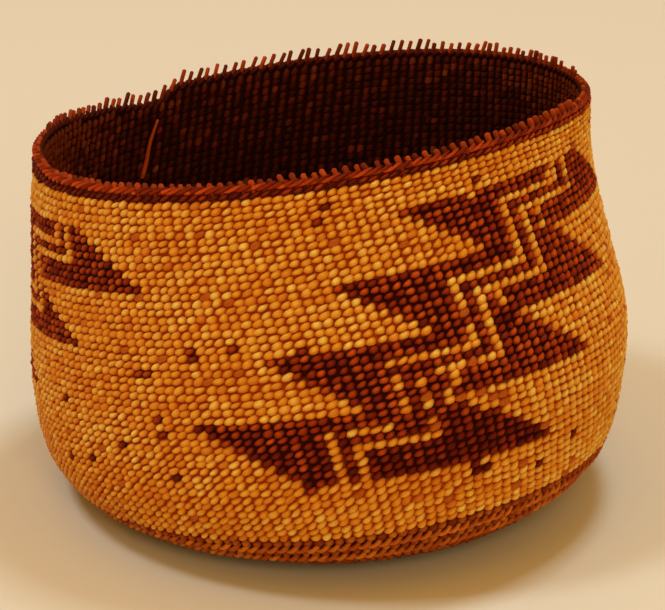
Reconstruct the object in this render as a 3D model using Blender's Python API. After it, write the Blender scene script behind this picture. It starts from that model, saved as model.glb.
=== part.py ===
# Twined bowl basket: warps inside a weft wall, overlay figures outside, a twined closing row on top
import bmesh
import bpy
from math import cos, floor, hypot, pi, radians, sin
from mathutils import Vector

# Counts of the weave: warps run up the wall as columns, the weft runs round it as rows
FIGURES = 3
FIGURE_REPEAT = 56
WARPS = FIGURES * FIGURE_REPEAT
LATTICE = 4
ARMS = 4
BUNDLE_WARPS = 5
START_ROW = -10
FOOT_ROW = -4
TURN_ROW = 5
BEND_ROW = 12
HEEL_ROW = 20
BELLY_ROW = 32
OVERLAY_TOP_ROW = 57
WALL_TOP_ROW = 58
TIP_ROW = 61

# Outer profile of the bowl: radius and height of each ring. The base is flat out to its foot
START_RADIUS = 0.0374
FOOT_RADIUS = 0.0490
TURN_RADIUS = 0.0645
TURN_HEIGHT = 0.0055
BEND_RADIUS = 0.0747
BEND_HEIGHT = 0.0130
HEEL_RADIUS = 0.0794
HEEL_HEIGHT = 0.0250
BELLY_RADIUS = 0.0802
BELLY_HEIGHT = 0.0475
RIM_RADIUS = 0.0737
RIM_HEIGHT = 0.0988

# The bowl has sagged to the left and to the back: sideways and backward shift of each ring
BEND_SHIFT = -0.0019
BEND_DRIFT = 0.0014
HEEL_SHIFT = -0.0038
HEEL_DRIFT = 0.0029
BELLY_SHIFT = -0.0058
BELLY_DRIFT = 0.0059
RIM_SHIFT = -0.0109
RIM_DRIFT = 0.0131

# Roll of each ring, down to the left, and tilt, down to the back
TURN_ROLL = radians(4.0)
TURN_TILT = radians(-1.0)
BEND_ROLL = radians(5.8)
BEND_TILT = radians(-4.1)
HEEL_ROLL = radians(6.4)
HEEL_TILT = radians(-7.4)
BELLY_ROLL = radians(7.5)
BELLY_TILT = radians(-8.8)
RIM_ROLL = radians(7.7)
RIM_TILT = radians(-7.6)
TIP_TILT = radians(-7.1)

# How far the warps lean round the bowl at each ring, in columns
START_LEAN_SHARE = -7.3
FOOT_LEAN_SHARE = -6.8
TURN_LEAN_SHARE = -5.5
BEND_LEAN_SHARE = -4.6
HEEL_LEAN_SHARE = -3.8
BELLY_LEAN_SHARE = -1.9
RIM_LEAN_SHARE = 1.7
TIP_LEAN_SHARE = 2.3

# Layers of the wall, from the outside in
OUTER_WEFT = 0.0009
WARP_THICKNESS = 0.0009
WARP_WIDTH = 0.0011
WARP_TIP_WIDTH = 0.0008
INNER_WEFT = 0.0008
PLAY = 0.00035
SEAM = 0.0003

# Closing row at the rim and the trimmed warp ends above it, longer at the back
STRANDS = 3
OUTSIDE_WARPS = 2
STRAND_RADIUS = 0.0004
STRAND_GAP = 0.00026
TIP_STAND = 0.0018

# Hole in the inner weft where the crossed start shows
START_WINDOW_RADIUS = 0.0090
RAMP_LENGTH = 0.0030

# The stepped figure: tiers one above the other, each moved sideways by its own height in stitches
TIERS = 4
TIER_ROWS = 8
TIER_COLUMNS = 24
FIGURE_TOP_ROW = 52
FIGURE_COLUMN = 10

# Where things lie between two columns: a warp runs up the middle, a strand turns outwards and inwards beside it
WARP_SHARE = 0.5
TURN_OUT_SHARE = 0.35
TURN_IN_SHARE = 0.15

# Everything below follows from the sizes above
FRONT = -pi / 2
FRONT_COLUMN_SHARE = 0.43
TURN_OF_COLUMN = 2 * pi / WARPS
LATTICE_COLUMNS = WARPS // LATTICE
LATTICE_START = FIGURE_COLUMN % LATTICE
WARP_OUT = OUTER_WEFT + PLAY
WARP_IN = WARP_OUT + WARP_THICKNESS
LINING_OUT = WARP_IN + PLAY
LINING_IN = LINING_OUT + INNER_WEFT
WAVE_DEPTH = WARP_THICKNESS / 2 + PLAY + STRAND_RADIUS
WAVE_HEIGHT = STRAND_RADIUS + STRAND_GAP
CLOSING_RISE = SEAM + WAVE_HEIGHT + STRAND_RADIUS
TIP_RISE = CLOSING_RISE + WAVE_HEIGHT + STRAND_RADIUS + TIP_STAND
TIP_HEIGHT = RIM_HEIGHT + TIP_RISE * cos(RIM_ROLL) * cos(RIM_TILT)
TIP_SHIFT = RIM_SHIFT - TIP_RISE * sin(RIM_ROLL)
TIP_DRIFT = RIM_DRIFT - TIP_RISE * cos(RIM_ROLL) * sin(RIM_TILT)

# Rings from the middle of the base up to the warp tips: row, radius, height, shift, drift, roll, tilt, lean
RINGS = [
    (START_ROW, START_RADIUS, 0, 0, 0, 0, 0, START_LEAN_SHARE),
    (FOOT_ROW, FOOT_RADIUS, 0, 0, 0, 0, 0, FOOT_LEAN_SHARE),
    (TURN_ROW, TURN_RADIUS, TURN_HEIGHT, 0, 0, TURN_ROLL, TURN_TILT, TURN_LEAN_SHARE),
    (BEND_ROW, BEND_RADIUS, BEND_HEIGHT, BEND_SHIFT, BEND_DRIFT, BEND_ROLL, BEND_TILT, BEND_LEAN_SHARE),
    (HEEL_ROW, HEEL_RADIUS, HEEL_HEIGHT, HEEL_SHIFT, HEEL_DRIFT, HEEL_ROLL, HEEL_TILT, HEEL_LEAN_SHARE),
    (BELLY_ROW, BELLY_RADIUS, BELLY_HEIGHT, BELLY_SHIFT, BELLY_DRIFT, BELLY_ROLL, BELLY_TILT, BELLY_LEAN_SHARE),
    (WALL_TOP_ROW, RIM_RADIUS, RIM_HEIGHT, RIM_SHIFT, RIM_DRIFT, RIM_ROLL, RIM_TILT, RIM_LEAN_SHARE),
    (TIP_ROW, RIM_RADIUS, TIP_HEIGHT, TIP_SHIFT, TIP_DRIFT, RIM_ROLL, TIP_TILT, TIP_LEAN_SHARE),
]
RING_ROWS = [ring[0] for ring in RINGS]


def clear_scene():
    for old in list(bpy.data.objects):
        bpy.data.objects.remove(old, do_unlink=True)


def material(name, color, roughness):
    finish = bpy.data.materials.new(name)
    finish.use_nodes = True
    shader = finish.node_tree.nodes["Principled BSDF"]
    shader.inputs["Base Color"].default_value = (*color, 1.0)
    shader.inputs["Roughness"].default_value = roughness
    shader.inputs["Metallic"].default_value = 0.0
    return finish


def add_piece(name, points, faces, color, roughness=0.6):
    mesh = bpy.data.meshes.new(name)
    mesh.from_pydata([tuple(point) for point in points], [], faces)
    shape = bmesh.new()
    shape.from_mesh(mesh)
    bmesh.ops.recalc_face_normals(shape, faces=shape.faces)
    shape.to_mesh(mesh)
    shape.free()
    mesh.materials.append(material(name, color, roughness))
    piece = bpy.data.objects.new(name, mesh)
    bpy.context.collection.objects.link(piece)
    return piece


# The surface of the bowl: every piece is placed by its row, its column and its depth in the wall

def profile_normal(before, here, after):
    """Direction from a ring into the wall, as radius and height, for one unit of depth."""
    normals = []
    for low, high in ((before, here), (here, after)):
        run = high[1] - low[1]
        rise = high[2] - low[2]
        length = hypot(run, rise)
        if length > 0:
            normals.append(Vector((-rise / length, run / length)))
    total = normals[0] + normals[-1]
    return total / (1 + normals[0].dot(normals[-1]))


RING_NORMALS = [
    profile_normal(RINGS[max(i - 1, 0)], RINGS[i], RINGS[min(i + 1, len(RINGS) - 1)])
    for i in range(len(RINGS))
]


def corner(ring_number, column, depth):
    """Point of one ring at a lattice column."""
    row, radius, height, shift, drift, roll, tilt, lean = RINGS[ring_number]
    normal = RING_NORMALS[ring_number]
    angle = FRONT + TURN_OF_COLUMN * (column - FRONT_COLUMN_SHARE - lean)
    reach = radius + depth * normal.x
    across = reach * cos(angle)
    away = reach * sin(angle)
    rise = depth * normal.y
    rolled = across * sin(roll) + rise * cos(roll)
    x = shift + across * cos(roll) - rise * sin(roll)
    y = drift + away * cos(tilt) - rolled * sin(tilt)
    z = height + away * sin(tilt) + rolled * cos(tilt)
    return Vector((x, y, z))


def place(row, column, depth):
    """Point of the faceted wall at any row and column."""
    ring = 0
    while ring < len(RINGS) - 2 and row > RING_ROWS[ring + 1]:
        ring += 1
    up = (row - RING_ROWS[ring]) / (RING_ROWS[ring + 1] - RING_ROWS[ring])
    step = floor((column - LATTICE_START) / LATTICE)
    left = LATTICE_START + step * LATTICE
    along = (column - left) / LATTICE
    low = corner(ring, left, depth).lerp(corner(ring, left + LATTICE, depth), along)
    high = corner(ring + 1, left, depth).lerp(corner(ring + 1, left + LATTICE, depth), along)
    return low.lerp(high, up)


def row_pitch(row, column=0):
    return (place(row + 1, column, 0) - place(row, column, 0)).length


def column_pitch(row, column=0):
    return (place(row, column + 1, 0) - place(row, column, 0)).length


def rows_in(length, row):
    """How many rows a length along the wall takes."""
    return length / row_pitch(row)


# A patch of wall: triangles between places of the lattice, given thickness

def patch(name, triangles, outer, inner, color, inset=0):
    places = sorted({corner_place for triangle in triangles for corner_place in triangle})
    moved = inset_places(triangles, inset) if inset else {}
    number = {spot: i for i, spot in enumerate(places)}
    count = len(places)
    points = []
    for depth in (outer, inner):
        for spot in places:
            row, column = moved.get(spot, spot)
            points.append(place(row, column, depth))
    faces = []
    for a, b, c in triangles:
        faces.append((number[a], number[b], number[c]))
        faces.append((number[c] + count, number[b] + count, number[a] + count))
    for a, b in border(triangles):
        faces.append((number[b], number[a], number[a] + count, number[b] + count))
    return add_piece(name, points, faces, color)


def wrap(spot):
    """The same place for columns that lie a whole turn apart."""
    row, column = spot
    return (row, column % WARPS)


def border(triangles):
    """Edges that only one triangle uses, each with the patch on its left."""
    edges = {}
    for a, b, c in triangles:
        for edge in ((a, b), (b, c), (c, a)):
            edges[edge] = True
    return [edge for edge in edges if (edge[1], edge[0]) not in edges]


def inset_places(triangles, inset):
    """Border places moved into the patch, so that a seam stays open round it."""
    ahead = {}
    behind = {}
    for a, b in border(triangles):
        ahead[a] = b
        behind[b] = a
    moved = {}
    for spot in ahead:
        row, column = spot
        across = column_pitch(row, column)
        upward = row_pitch(row, column)
        normals = []
        for start, end in ((behind[spot], spot), (spot, ahead[spot])):
            run = (end[1] - start[1] + WARPS / 2) % WARPS - WARPS / 2
            step = Vector((run * across, (end[0] - start[0]) * upward)).normalized()
            normals.append(Vector((-step.y, step.x)))
        shift = (normals[0] + normals[1]) * inset / (1 + normals[0].dot(normals[1]))
        moved[spot] = (row + shift.y / upward, column + shift.x / across)
    return moved


def cell(row, next_row, column):
    """Two triangles of one lattice cell, split from top left to bottom right."""
    low_left = wrap((row, column))
    low_right = wrap((row, column + LATTICE))
    high_left = wrap((next_row, column))
    high_right = wrap((next_row, column + LATTICE))
    return (low_left, low_right, high_left), (high_left, low_right, high_right)


def band(rows):
    """All cells round the bowl between the first and the last of the rows."""
    triangles = []
    for low, high in zip(rows, rows[1:]):
        for i in range(LATTICE_COLUMNS):
            triangles.extend(cell(low, high, LATTICE_START + i * LATTICE))
    return triangles


# The dark stepped figures and the light field round them

def figure_cells(figure):
    """Triangles of one figure: each tier is a band of cells with slanted ends."""
    triangles = []
    steps = TIER_ROWS // LATTICE
    width = TIER_COLUMNS // LATTICE
    for tier in range(TIERS):
        for step in range(steps):
            high = FIGURE_TOP_ROW - tier * TIER_ROWS - step * LATTICE
            left = FIGURE_COLUMN + figure * FIGURE_REPEAT - tier * TIER_ROWS + step * LATTICE
            for i in range(width + 1):
                lower, upper = cell(high - LATTICE, high, left + i * LATTICE)
                if i > 0:
                    triangles.append(lower)
                if i < width:
                    triangles.append(upper)
    return triangles


def make_overlay():
    figures = [figure_cells(figure) for figure in range(FIGURES)]
    dark = {triangle for triangles in figures for triangle in triangles}
    figure_bottom = FIGURE_TOP_ROW - TIERS * TIER_ROWS
    rows = [TURN_ROW, BEND_ROW]
    rows.extend(range(figure_bottom, FIGURE_TOP_ROW + 1, LATTICE))
    rows.append(OVERLAY_TOP_ROW)
    field = [triangle for triangle in band(rows) if triangle not in dark]
    patch("light_overlay", field, 0, OUTER_WEFT, (0.62, 0.33, 0.08))
    for number, triangles in enumerate(figures, start=1):
        patch(f"dark_figure_{number}", triangles, 0, OUTER_WEFT, (0.17, 0.03, 0.01), SEAM)


# Plain weft: discs below and above the warps of the base, then the turn, rim and inner faces

def ring_faces(first, second, count):
    """Quads between two closed loops of points, given by the number of their first points."""
    faces = []
    for i in range(count):
        j = (i + 1) % count
        faces.append((first + i, first + j, second + j, second + i))
    return faces


def make_base_weft():
    """Closed disc under the warps, flat below, on which the bowl stands."""
    row = FOOT_ROW - rows_in(SEAM, START_ROW)
    columns = [LATTICE_START + i * LATTICE for i in range(LATTICE_COLUMNS)]
    count = LATTICE_COLUMNS
    points = [place(row, column, 0) for column in columns]
    points.extend(place(row, column, OUTER_WEFT) for column in columns)
    faces = [tuple(range(count)), tuple(range(count, 2 * count))]
    faces.extend(ring_faces(0, count, count))
    add_piece("base_weft", points, faces, (0.33, 0.13, 0.04))


def make_inner_base_weft():
    """Lining of the base, with a round window over the crossed start."""
    row = FOOT_ROW - rows_in(SEAM, START_ROW)
    columns = [LATTICE_START + i * LATTICE for i in range(LATTICE_COLUMNS)]
    points = []
    for depth in (LINING_OUT, LINING_IN):
        outline = [place(row, column, depth) for column in columns]
        points.extend(outline)
        for spot in outline:
            edge = spot.copy()
            edge.xy = edge.xy.normalized() * START_WINDOW_RADIUS
            points.append(edge)
    low_rim, low_window, high_rim, high_window = [i * LATTICE_COLUMNS for i in range(4)]
    faces = ring_faces(low_rim, low_window, LATTICE_COLUMNS)
    faces.extend(ring_faces(low_window, high_window, LATTICE_COLUMNS))
    faces.extend(ring_faces(high_window, high_rim, LATTICE_COLUMNS))
    faces.extend(ring_faces(high_rim, low_rim, LATTICE_COLUMNS))
    add_piece("inner_base_weft", points, faces, (0.09, 0.03, 0.015))


def make_bands():
    turn_top = TURN_ROW - rows_in(SEAM, TURN_ROW)
    patch("turn_rows", band([FOOT_ROW, turn_top]), 0, OUTER_WEFT, (0.36, 0.15, 0.04))
    rim_low = OVERLAY_TOP_ROW + rows_in(SEAM, OVERLAY_TOP_ROW)
    patch("rim_rows", band([rim_low, WALL_TOP_ROW]), 0, OUTER_WEFT, (0.14, 0.03, 0.01))
    inner_rows = [FOOT_ROW, TURN_ROW, BEND_ROW, HEEL_ROW]
    inner_rows.extend(range(BELLY_ROW, WALL_TOP_ROW - TIER_ROWS, TIER_ROWS))
    inner_rows.append(WALL_TOP_ROW)
    patch("inner_wall_weft", band(inner_rows), LINING_OUT, LINING_IN, (0.09, 0.03, 0.015))


# Warps: each is a long rod of three sides, its edge turned outwards

def warp_sections(column):
    """Cross-sections of one warp from the start plate to its trimmed tip."""
    sections = []
    for row in RING_ROWS:
        width = WARP_TIP_WIDTH if row >= WALL_TOP_ROW else WARP_WIDTH
        half = width / 2 / column_pitch(row)
        sections.append([
            place(row, column, WARP_OUT),
            place(row, column + half, WARP_IN),
            place(row, column - half, WARP_IN),
        ])
    return sections


def add_rod(points, faces, column):
    """Adds a warp and returns its root: the points of its first section."""
    first = len(points)
    sections = warp_sections(column)
    for section in sections:
        points.extend(section)
    for i in range(len(sections) - 1):
        for side in range(3):
            a = first + 3 * i + side
            b = first + 3 * i + (side + 1) % 3
            faces.append((a, b, b + 3, a + 3))
    tip = first + 3 * (len(sections) - 1)
    faces.append((tip, tip + 1, tip + 2))
    return first, first + 1, first + 2


def add_fringe(points, faces, columns):
    """Rods side by side from one plate edge: returns the upper and lower outline there."""
    upper = []
    lower = []
    before = None
    for column in columns:
        low, right, left = add_rod(points, faces, column)
        if before:
            faces.append((before[0], before[1], left, low))
        upper.extend((left, right))
        lower.append(low)
        before = (low, right)
    return upper, lower


def arm_columns(arm):
    """Columns of the warps in one arm of the cross."""
    middle = arm * WARPS / ARMS + WARP_SHARE
    return [middle + i - BUNDLE_WARPS // 2 for i in range(BUNDLE_WARPS)]


def start_angle(column):
    return FRONT + TURN_OF_COLUMN * (column - FRONT_COLUMN_SHARE - START_LEAN_SHARE)


def bundle_half_width():
    """Half the width of a start bundle, from the outer edge of its last warp."""
    edge = WARP_WIDTH / 2 / column_pitch(START_ROW) + BUNDLE_WARPS // 2
    return START_RADIUS * sin(TURN_OF_COLUMN * edge)


def make_bundle(name, arm, lift):
    """Flat bundle of start warps that crosses the middle, lifted there over the other bundle."""
    points = []
    faces = []
    half = bundle_half_width()
    axis = start_angle(arm * WARPS / ARMS + WARP_SHARE)
    along = Vector((cos(axis), sin(axis), 0))
    across = Vector((-sin(axis), cos(axis), 0))
    flat_end = half + PLAY + RAMP_LENGTH
    lifted_end = half + PLAY
    profile = [(flat_end, 0), (lifted_end, lift), (-lifted_end, lift), (-flat_end, 0)]
    near_up, near_low = add_fringe(points, faces, arm_columns(arm))
    loops = []
    for distance, raised in profile:
        first = len(points)
        for side, level in ((-half, WARP_IN), (half, WARP_IN), (half, WARP_OUT), (-half, WARP_OUT)):
            spot = along * distance + across * side
            spot.z = level + raised
            points.append(spot)
        loops.append((first, first + 1, first + 2, first + 3))
    far_up, far_low = add_fringe(points, faces, arm_columns(arm + 2))
    for upper, lower, loop, flip in ((near_up, near_low, loops[0], False), (far_up, far_low, loops[-1], True)):
        right_top, left_top, left_low, right_low = loop
        if flip:
            right_top, left_top, left_low, right_low = left_top, right_top, right_low, left_low
        faces.append((*upper, left_top, right_top))
        faces.append((*reversed(lower), right_low, left_low))
        faces.append((lower[0], right_low, right_top, upper[0]))
        faces.append((lower[-1], upper[-1], left_top, left_low))
    for one, two in zip(loops, loops[1:]):
        for i in range(4):
            j = (i + 1) % 4
            faces.append((one[i], one[j], two[j], two[i]))
    add_piece(name, points, faces, (0.36, 0.17, 0.07))


def make_fan(name, quarter):
    """Warps added between two arms of the cross, joined where they are packed at their inner ends."""
    points = []
    faces = []
    after = arm_columns(quarter)[-1]
    until = arm_columns(quarter + 1)[0]
    columns = [after + 1 + i for i in range(round(until - after) - 1)]
    upper, lower = add_fringe(points, faces, columns)
    inside = bundle_half_width() + PLAY
    axis = start_angle(quarter * WARPS / ARMS + WARP_SHARE)
    along = Vector((cos(axis), sin(axis), 0))
    across = Vector((-sin(axis), cos(axis), 0))
    first = len(points)
    for level in (WARP_IN, WARP_OUT):
        spot = along * inside + across * inside
        spot.z = level
        points.append(spot)
    faces.append((*upper, first))
    faces.append((*reversed(lower), first + 1))
    faces.append((lower[0], first + 1, first, upper[0]))
    faces.append((lower[-1], upper[-1], first, first + 1))
    add_piece(name, points, faces, (0.36, 0.17, 0.07))


def make_warps():
    make_bundle("start_warps_lower", 0, 0)
    make_bundle("start_warps_upper", 1, WARP_THICKNESS + PLAY)
    for quarter in range(ARMS):
        make_fan(f"added_warps_{quarter + 1}", quarter)


# Closing row: three strands, each over two warps outside, rising, then behind the third inside, falling

def closing_point(column, outward, upward):
    """Point of a strand, by how far it lies outside and above the middle of the row."""
    row = WALL_TOP_ROW + (CLOSING_RISE + upward) / TIP_RISE * (TIP_ROW - WALL_TOP_ROW)
    return place(row, column, WARP_OUT + WARP_THICKNESS / 2 - outward)


def strand_path(number):
    """One strand round the bowl, a warp behind the strand before it."""
    path = []
    for first in range(number, WARPS + number, STRANDS):
        second = first + OUTSIDE_WARPS
        third = first + STRANDS
        path.append(closing_point(first + TURN_OUT_SHARE, WAVE_DEPTH, -WAVE_HEIGHT))
        path.append(closing_point(second - TURN_OUT_SHARE, WAVE_DEPTH, WAVE_HEIGHT))
        path.append(closing_point(second + TURN_IN_SHARE, -WAVE_DEPTH, WAVE_HEIGHT))
        path.append(closing_point(third - TURN_IN_SHARE, -WAVE_DEPTH, -WAVE_HEIGHT))
    return path


def make_strand(name, number):
    path = strand_path(number)
    count = len(path)
    sides = 3
    points = []
    for i in range(count):
        tangent = (path[(i + 1) % count] - path[i - 1]).normalized()
        outward = Vector((path[i].x - RIM_SHIFT, path[i].y - RIM_DRIFT, 0))
        outward = (outward - tangent * outward.dot(tangent)).normalized()
        beside = tangent.cross(outward)
        for side in range(sides):
            turn = 2 * pi * side / sides
            points.append(path[i] + (outward * cos(turn) + beside * sin(turn)) * STRAND_RADIUS)
    faces = []
    for i in range(count):
        j = (i + 1) % count
        for side in range(sides):
            other = (side + 1) % sides
            faces.append((sides * i + side, sides * i + other, sides * j + other, sides * j + side))
    add_piece(name, points, faces, (0.20, 0.04, 0.015))


clear_scene()
make_overlay()
make_base_weft()
make_inner_base_weft()
make_bands()
make_warps()
for number in range(STRANDS):
    make_strand(f"rim_strand_{number + 1}", number)
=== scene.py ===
from math import cos, pi, radians, sin

import bpy
import numpy as np
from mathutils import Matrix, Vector


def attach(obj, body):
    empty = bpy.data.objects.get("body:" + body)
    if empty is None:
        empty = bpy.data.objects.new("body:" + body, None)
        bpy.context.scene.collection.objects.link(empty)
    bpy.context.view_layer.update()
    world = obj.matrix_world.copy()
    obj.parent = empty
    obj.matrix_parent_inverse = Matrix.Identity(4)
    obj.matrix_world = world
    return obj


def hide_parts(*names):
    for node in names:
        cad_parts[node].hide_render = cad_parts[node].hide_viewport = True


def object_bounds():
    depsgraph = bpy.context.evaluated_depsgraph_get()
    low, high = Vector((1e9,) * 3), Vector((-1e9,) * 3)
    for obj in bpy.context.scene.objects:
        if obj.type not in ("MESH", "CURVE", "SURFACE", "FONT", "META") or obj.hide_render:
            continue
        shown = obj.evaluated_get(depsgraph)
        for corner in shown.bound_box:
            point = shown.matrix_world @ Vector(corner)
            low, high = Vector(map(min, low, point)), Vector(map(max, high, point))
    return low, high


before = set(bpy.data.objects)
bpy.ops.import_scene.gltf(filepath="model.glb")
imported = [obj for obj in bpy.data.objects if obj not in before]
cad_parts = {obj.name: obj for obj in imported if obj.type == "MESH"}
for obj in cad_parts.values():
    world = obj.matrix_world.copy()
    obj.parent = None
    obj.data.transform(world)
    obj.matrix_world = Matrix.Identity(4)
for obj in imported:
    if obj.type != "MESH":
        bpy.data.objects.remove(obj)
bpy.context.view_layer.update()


# Warps: 168 peeled shoots carry the bowl. Two flat bundles of five cross under the middle, and the rest were
# laid in as the base grew. All are bent up the wall, lean a little as the weft pulled them round, and are cut
# off above the rim, short at the front and longer at the back.

# Sizes are in mm. Rows are counted up from the first one of the turn, and columns from the front to the right
MM = 0.001
WARPS = 168
QUARTER = WARPS // 4
BUNDLE = 5
FRONT_COLUMN = -0.07
FULL_ROW = -9
TOP_ROW = 58
WARP_ROW_STEP = 3.0
WARP_DEPTH = 1.7
WARP_RADIUS = 0.52
# On the base shoots crowd: the share of their room that they fill, and the least radius, more at the crossing
WARP_FILL = 0.42
THIN_RADIUS = 0.3
STOUT_EXTRA = 0.22
START_REACH = 9
START_EDGE = 4
# Rows where the shoots between two arms begin: every fourth one, every second one, and the rest
FAN_STARTS = (-24, -19.5, -9.7)
FAN_END = -9.5
TIP_POINTS = 5
TIP_ROWS_FRONT = 0.65
TIP_ROWS_BACK = 1.35
TIP_SWELL = 1.45
TIP_SWELL_BACK = 1.15
# Least and most of a tip's length as a share of the usual, and of its lean in columns a row
TIP_LENGTHS = (0.7, 1.25)
TIP_LEANS = (0.1, 0.3)
# Columns where the tips are shorter: worn at the right end and the left end, broken off, and past the split
WORN_TIPS_RIGHT = 42
WORN_TIPS_LEFT = 131
BROKEN_TIPS = (51, 52)
SHORT_TIPS_FROM = 106

# Rings of the bowl: row, radius and height in mm, shift to the right and to the back in mm, roll and tilt in
# degrees, lean of the warps in columns. The bowl leans to the left and to the back of its flat base.
FORM = np.array([
    (-29, 0.2, 0.0, 0.0, 0.0, 0.0, 0.0, -9.0),
    (-10, 37.4, 0.0, 0.0, 0.0, 0.0, 0.0, -7.3),
    (-6, 45.1, 0.5, 0.0, 0.0, 0.9, 0.0, -6.9),
    (0, 56.5, 2.4, 0.0, 0.0, 2.4, 0.0, -6.4),
    (4, 63.6, 5.1, 0.0, 0.4, 3.8, -0.8, -5.6),
    (7, 68.8, 7.9, -0.4, 0.8, 4.9, -1.8, -5.1),
    (10, 73.2, 11.2, -1.3, 1.2, 5.6, -3.3, -4.7),
    (15, 77.2, 17.7, -3.1, 1.9, 6.0, -5.8, -4.4),
    (20, 79.5, 25.8, -3.9, 3.0, 6.4, -7.6, -3.7),
    (24, 80.5, 33.1, -4.2, 4.0, 6.9, -8.3, -3.0),
    (28, 80.7, 40.6, -4.9, 5.0, 7.2, -8.7, -2.4),
    (36, 78.8, 56.4, -7.0, 7.0, 7.8, -9.0, -1.4),
    (44, 76.6, 72.6, -9.0, 9.2, 8.8, -8.8, -0.1),
    (52, 74.9, 88.4, -10.4, 11.3, 8.7, -8.4, 1.1),
    (58, 73.7, 99.4, -10.9, 13.0, 7.6, -7.8, 1.8),
    (63, 73.3, 108.4, -11.4, 14.2, 7.0, -7.5, 2.3),
])
RADIUS, HEIGHT, SHIFT, DRIFT, ROLL, TILT, LEAN = range(1, 8)
BACK_LIFT = 1.0
BACK_LIFT_ROW = 40
FLARE = 2.4
FLARE_ROW = 44
FLARE_ROWS = 13
FLARE_DROP = 0.7
# Where the rim is uneven: rows, first column, columns to full height, last column, columns back to nothing
WORN_RIM = (1.4, 100.5, 1.5, 110, 6)
RAISED_RIM = (1.2, 111, 8, 139, 7)
chance = np.random.default_rng(21)


def ring_curve(rows, item):
    """One item of the rings at any rows, with its slope, as a smooth curve through the table."""
    knots = FORM[:, 0]
    values = FORM[:, item]
    slopes = np.gradient(values, knots)
    i = np.clip(np.searchsorted(knots, rows) - 1, 0, len(knots) - 2)
    span = knots[i + 1] - knots[i]
    t = (rows - knots[i]) / span
    rise = values[i + 1] - values[i]
    bend_low = slopes[i] * span - rise
    bend_high = rise - slopes[i + 1] * span
    bend = bend_low * (1 - t) + bend_high * t
    value = values[i] + rise * t + t * (1 - t) * bend
    slope = rise + (1 - 2 * t) * bend + t * (1 - t) * (bend_high - bend_low)
    return value, slope / span


def place(rows, columns, depth):
    """Points in metres for rows up the form, columns round it and depths in mm in from its outer face."""
    rows, columns, depth = np.broadcast_arrays(rows, columns, depth)
    radius, widening = ring_curve(rows, RADIUS)
    height, climb = ring_curve(rows, HEIGHT)
    shift, drift = ring_curve(rows, SHIFT)[0], ring_curve(rows, DRIFT)[0]
    roll, tilt = np.radians(ring_curve(rows, ROLL)[0]), np.radians(ring_curve(rows, TILT)[0])
    lean = ring_curve(rows, LEAN)[0]
    turn = -pi / 2 + 2 * pi * (columns - FRONT_COLUMN - lean) / WARPS
    pitch = np.hypot(widening, climb)
    flare = FLARE * np.clip((rows - FLARE_ROW) / FLARE_ROWS, 0, 1) ** 1.7 * np.clip(np.cos(turn), 0, 1) ** 6
    reach = radius + flare - depth * climb / pitch
    rise = depth * widening / pitch - FLARE_DROP * flare
    across, away = reach * np.cos(turn), reach * np.sin(turn)
    rolled = across * np.sin(roll) + rise * np.cos(roll)
    up_the_wall = np.clip((rows - BACK_LIFT_ROW) / (TOP_ROW - BACK_LIFT_ROW), 0, 1)
    lifted = BACK_LIFT * up_the_wall * np.clip(np.sin(turn), 0, 1)
    x = shift + across * np.cos(roll) - rise * np.sin(roll)
    y = drift + away * np.cos(tilt) - rolled * np.sin(tilt)
    z = height + away * np.sin(tilt) + rolled * np.cos(tilt) + lifted
    return np.stack([x, y, z], axis=-1) * MM


def uneven_rim(columns, rows, first, climb, last, fall):
    """Rows by which a stretch of the rim is off at each column."""
    return rows * np.clip((columns - first) / climb, 0, 1) * np.clip((last - columns) / fall, 0, 1)


def wall_height(columns):
    """Row that the weft reaches at each column: worn lower beside the split, built higher at the left end."""
    columns = np.asarray(columns) % WARPS
    return TOP_ROW - uneven_rim(columns, *WORN_RIM) + uneven_rim(columns, *RAISED_RIM)


def share_back(columns):
    """0 at the front of the rim, 1 at the back."""
    return (1 - np.cos(2 * pi * (columns - FRONT_COLUMN) / WARPS)) / 2


def make_piece(name, points, corners, sizes, maps, tones):
    """Mesh object from arrays: corner numbers and sizes of the faces, bake map, and tones of each point."""
    mesh = bpy.data.meshes.new(name)
    mesh.vertices.add(len(points))
    mesh.vertices.foreach_set("co", points.astype(np.float32).ravel())
    mesh.loops.add(len(corners))
    mesh.loops.foreach_set("vertex_index", corners.astype(np.int32))
    mesh.polygons.add(len(sizes))
    starts = np.concatenate(([0], np.cumsum(sizes)[:-1]))
    mesh.polygons.foreach_set("loop_start", starts.astype(np.int32))
    mesh.polygons.foreach_set("use_smooth", np.ones(len(sizes), bool))
    mesh.update(calc_edges=True)
    mesh.uv_layers.new(name="OFBake").data.foreach_set("uv", maps.astype(np.float32).ravel())
    for key, values in tones.items():
        tones_of_points = mesh.attributes.new(key, "FLOAT", "POINT")
        tones_of_points.data.foreach_set("value", values.astype(np.float32).ravel())
    piece = bpy.data.objects.new(name, mesh)
    bpy.context.scene.collection.objects.link(piece)
    return piece


CELL_MARGIN = 0.04
CELL_USED = 0.92


def in_cells(maps, count):
    """Bake map of many like parts: each part's own map in a cell of its own."""
    edge_and_shade = int(np.ceil(np.sqrt(count)))
    cell = np.arange(count)
    corner = np.stack([cell % edge_and_shade, cell // edge_and_shade], axis=-1)
    return ((corner[:, None, :] + CELL_MARGIN + CELL_USED * maps[None]) / edge_and_shade).reshape(-1, 2)


TUBE_SIDES = 8
TUBE_END = 0.6
TUBE_DOWNWARD = 0.05


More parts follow.
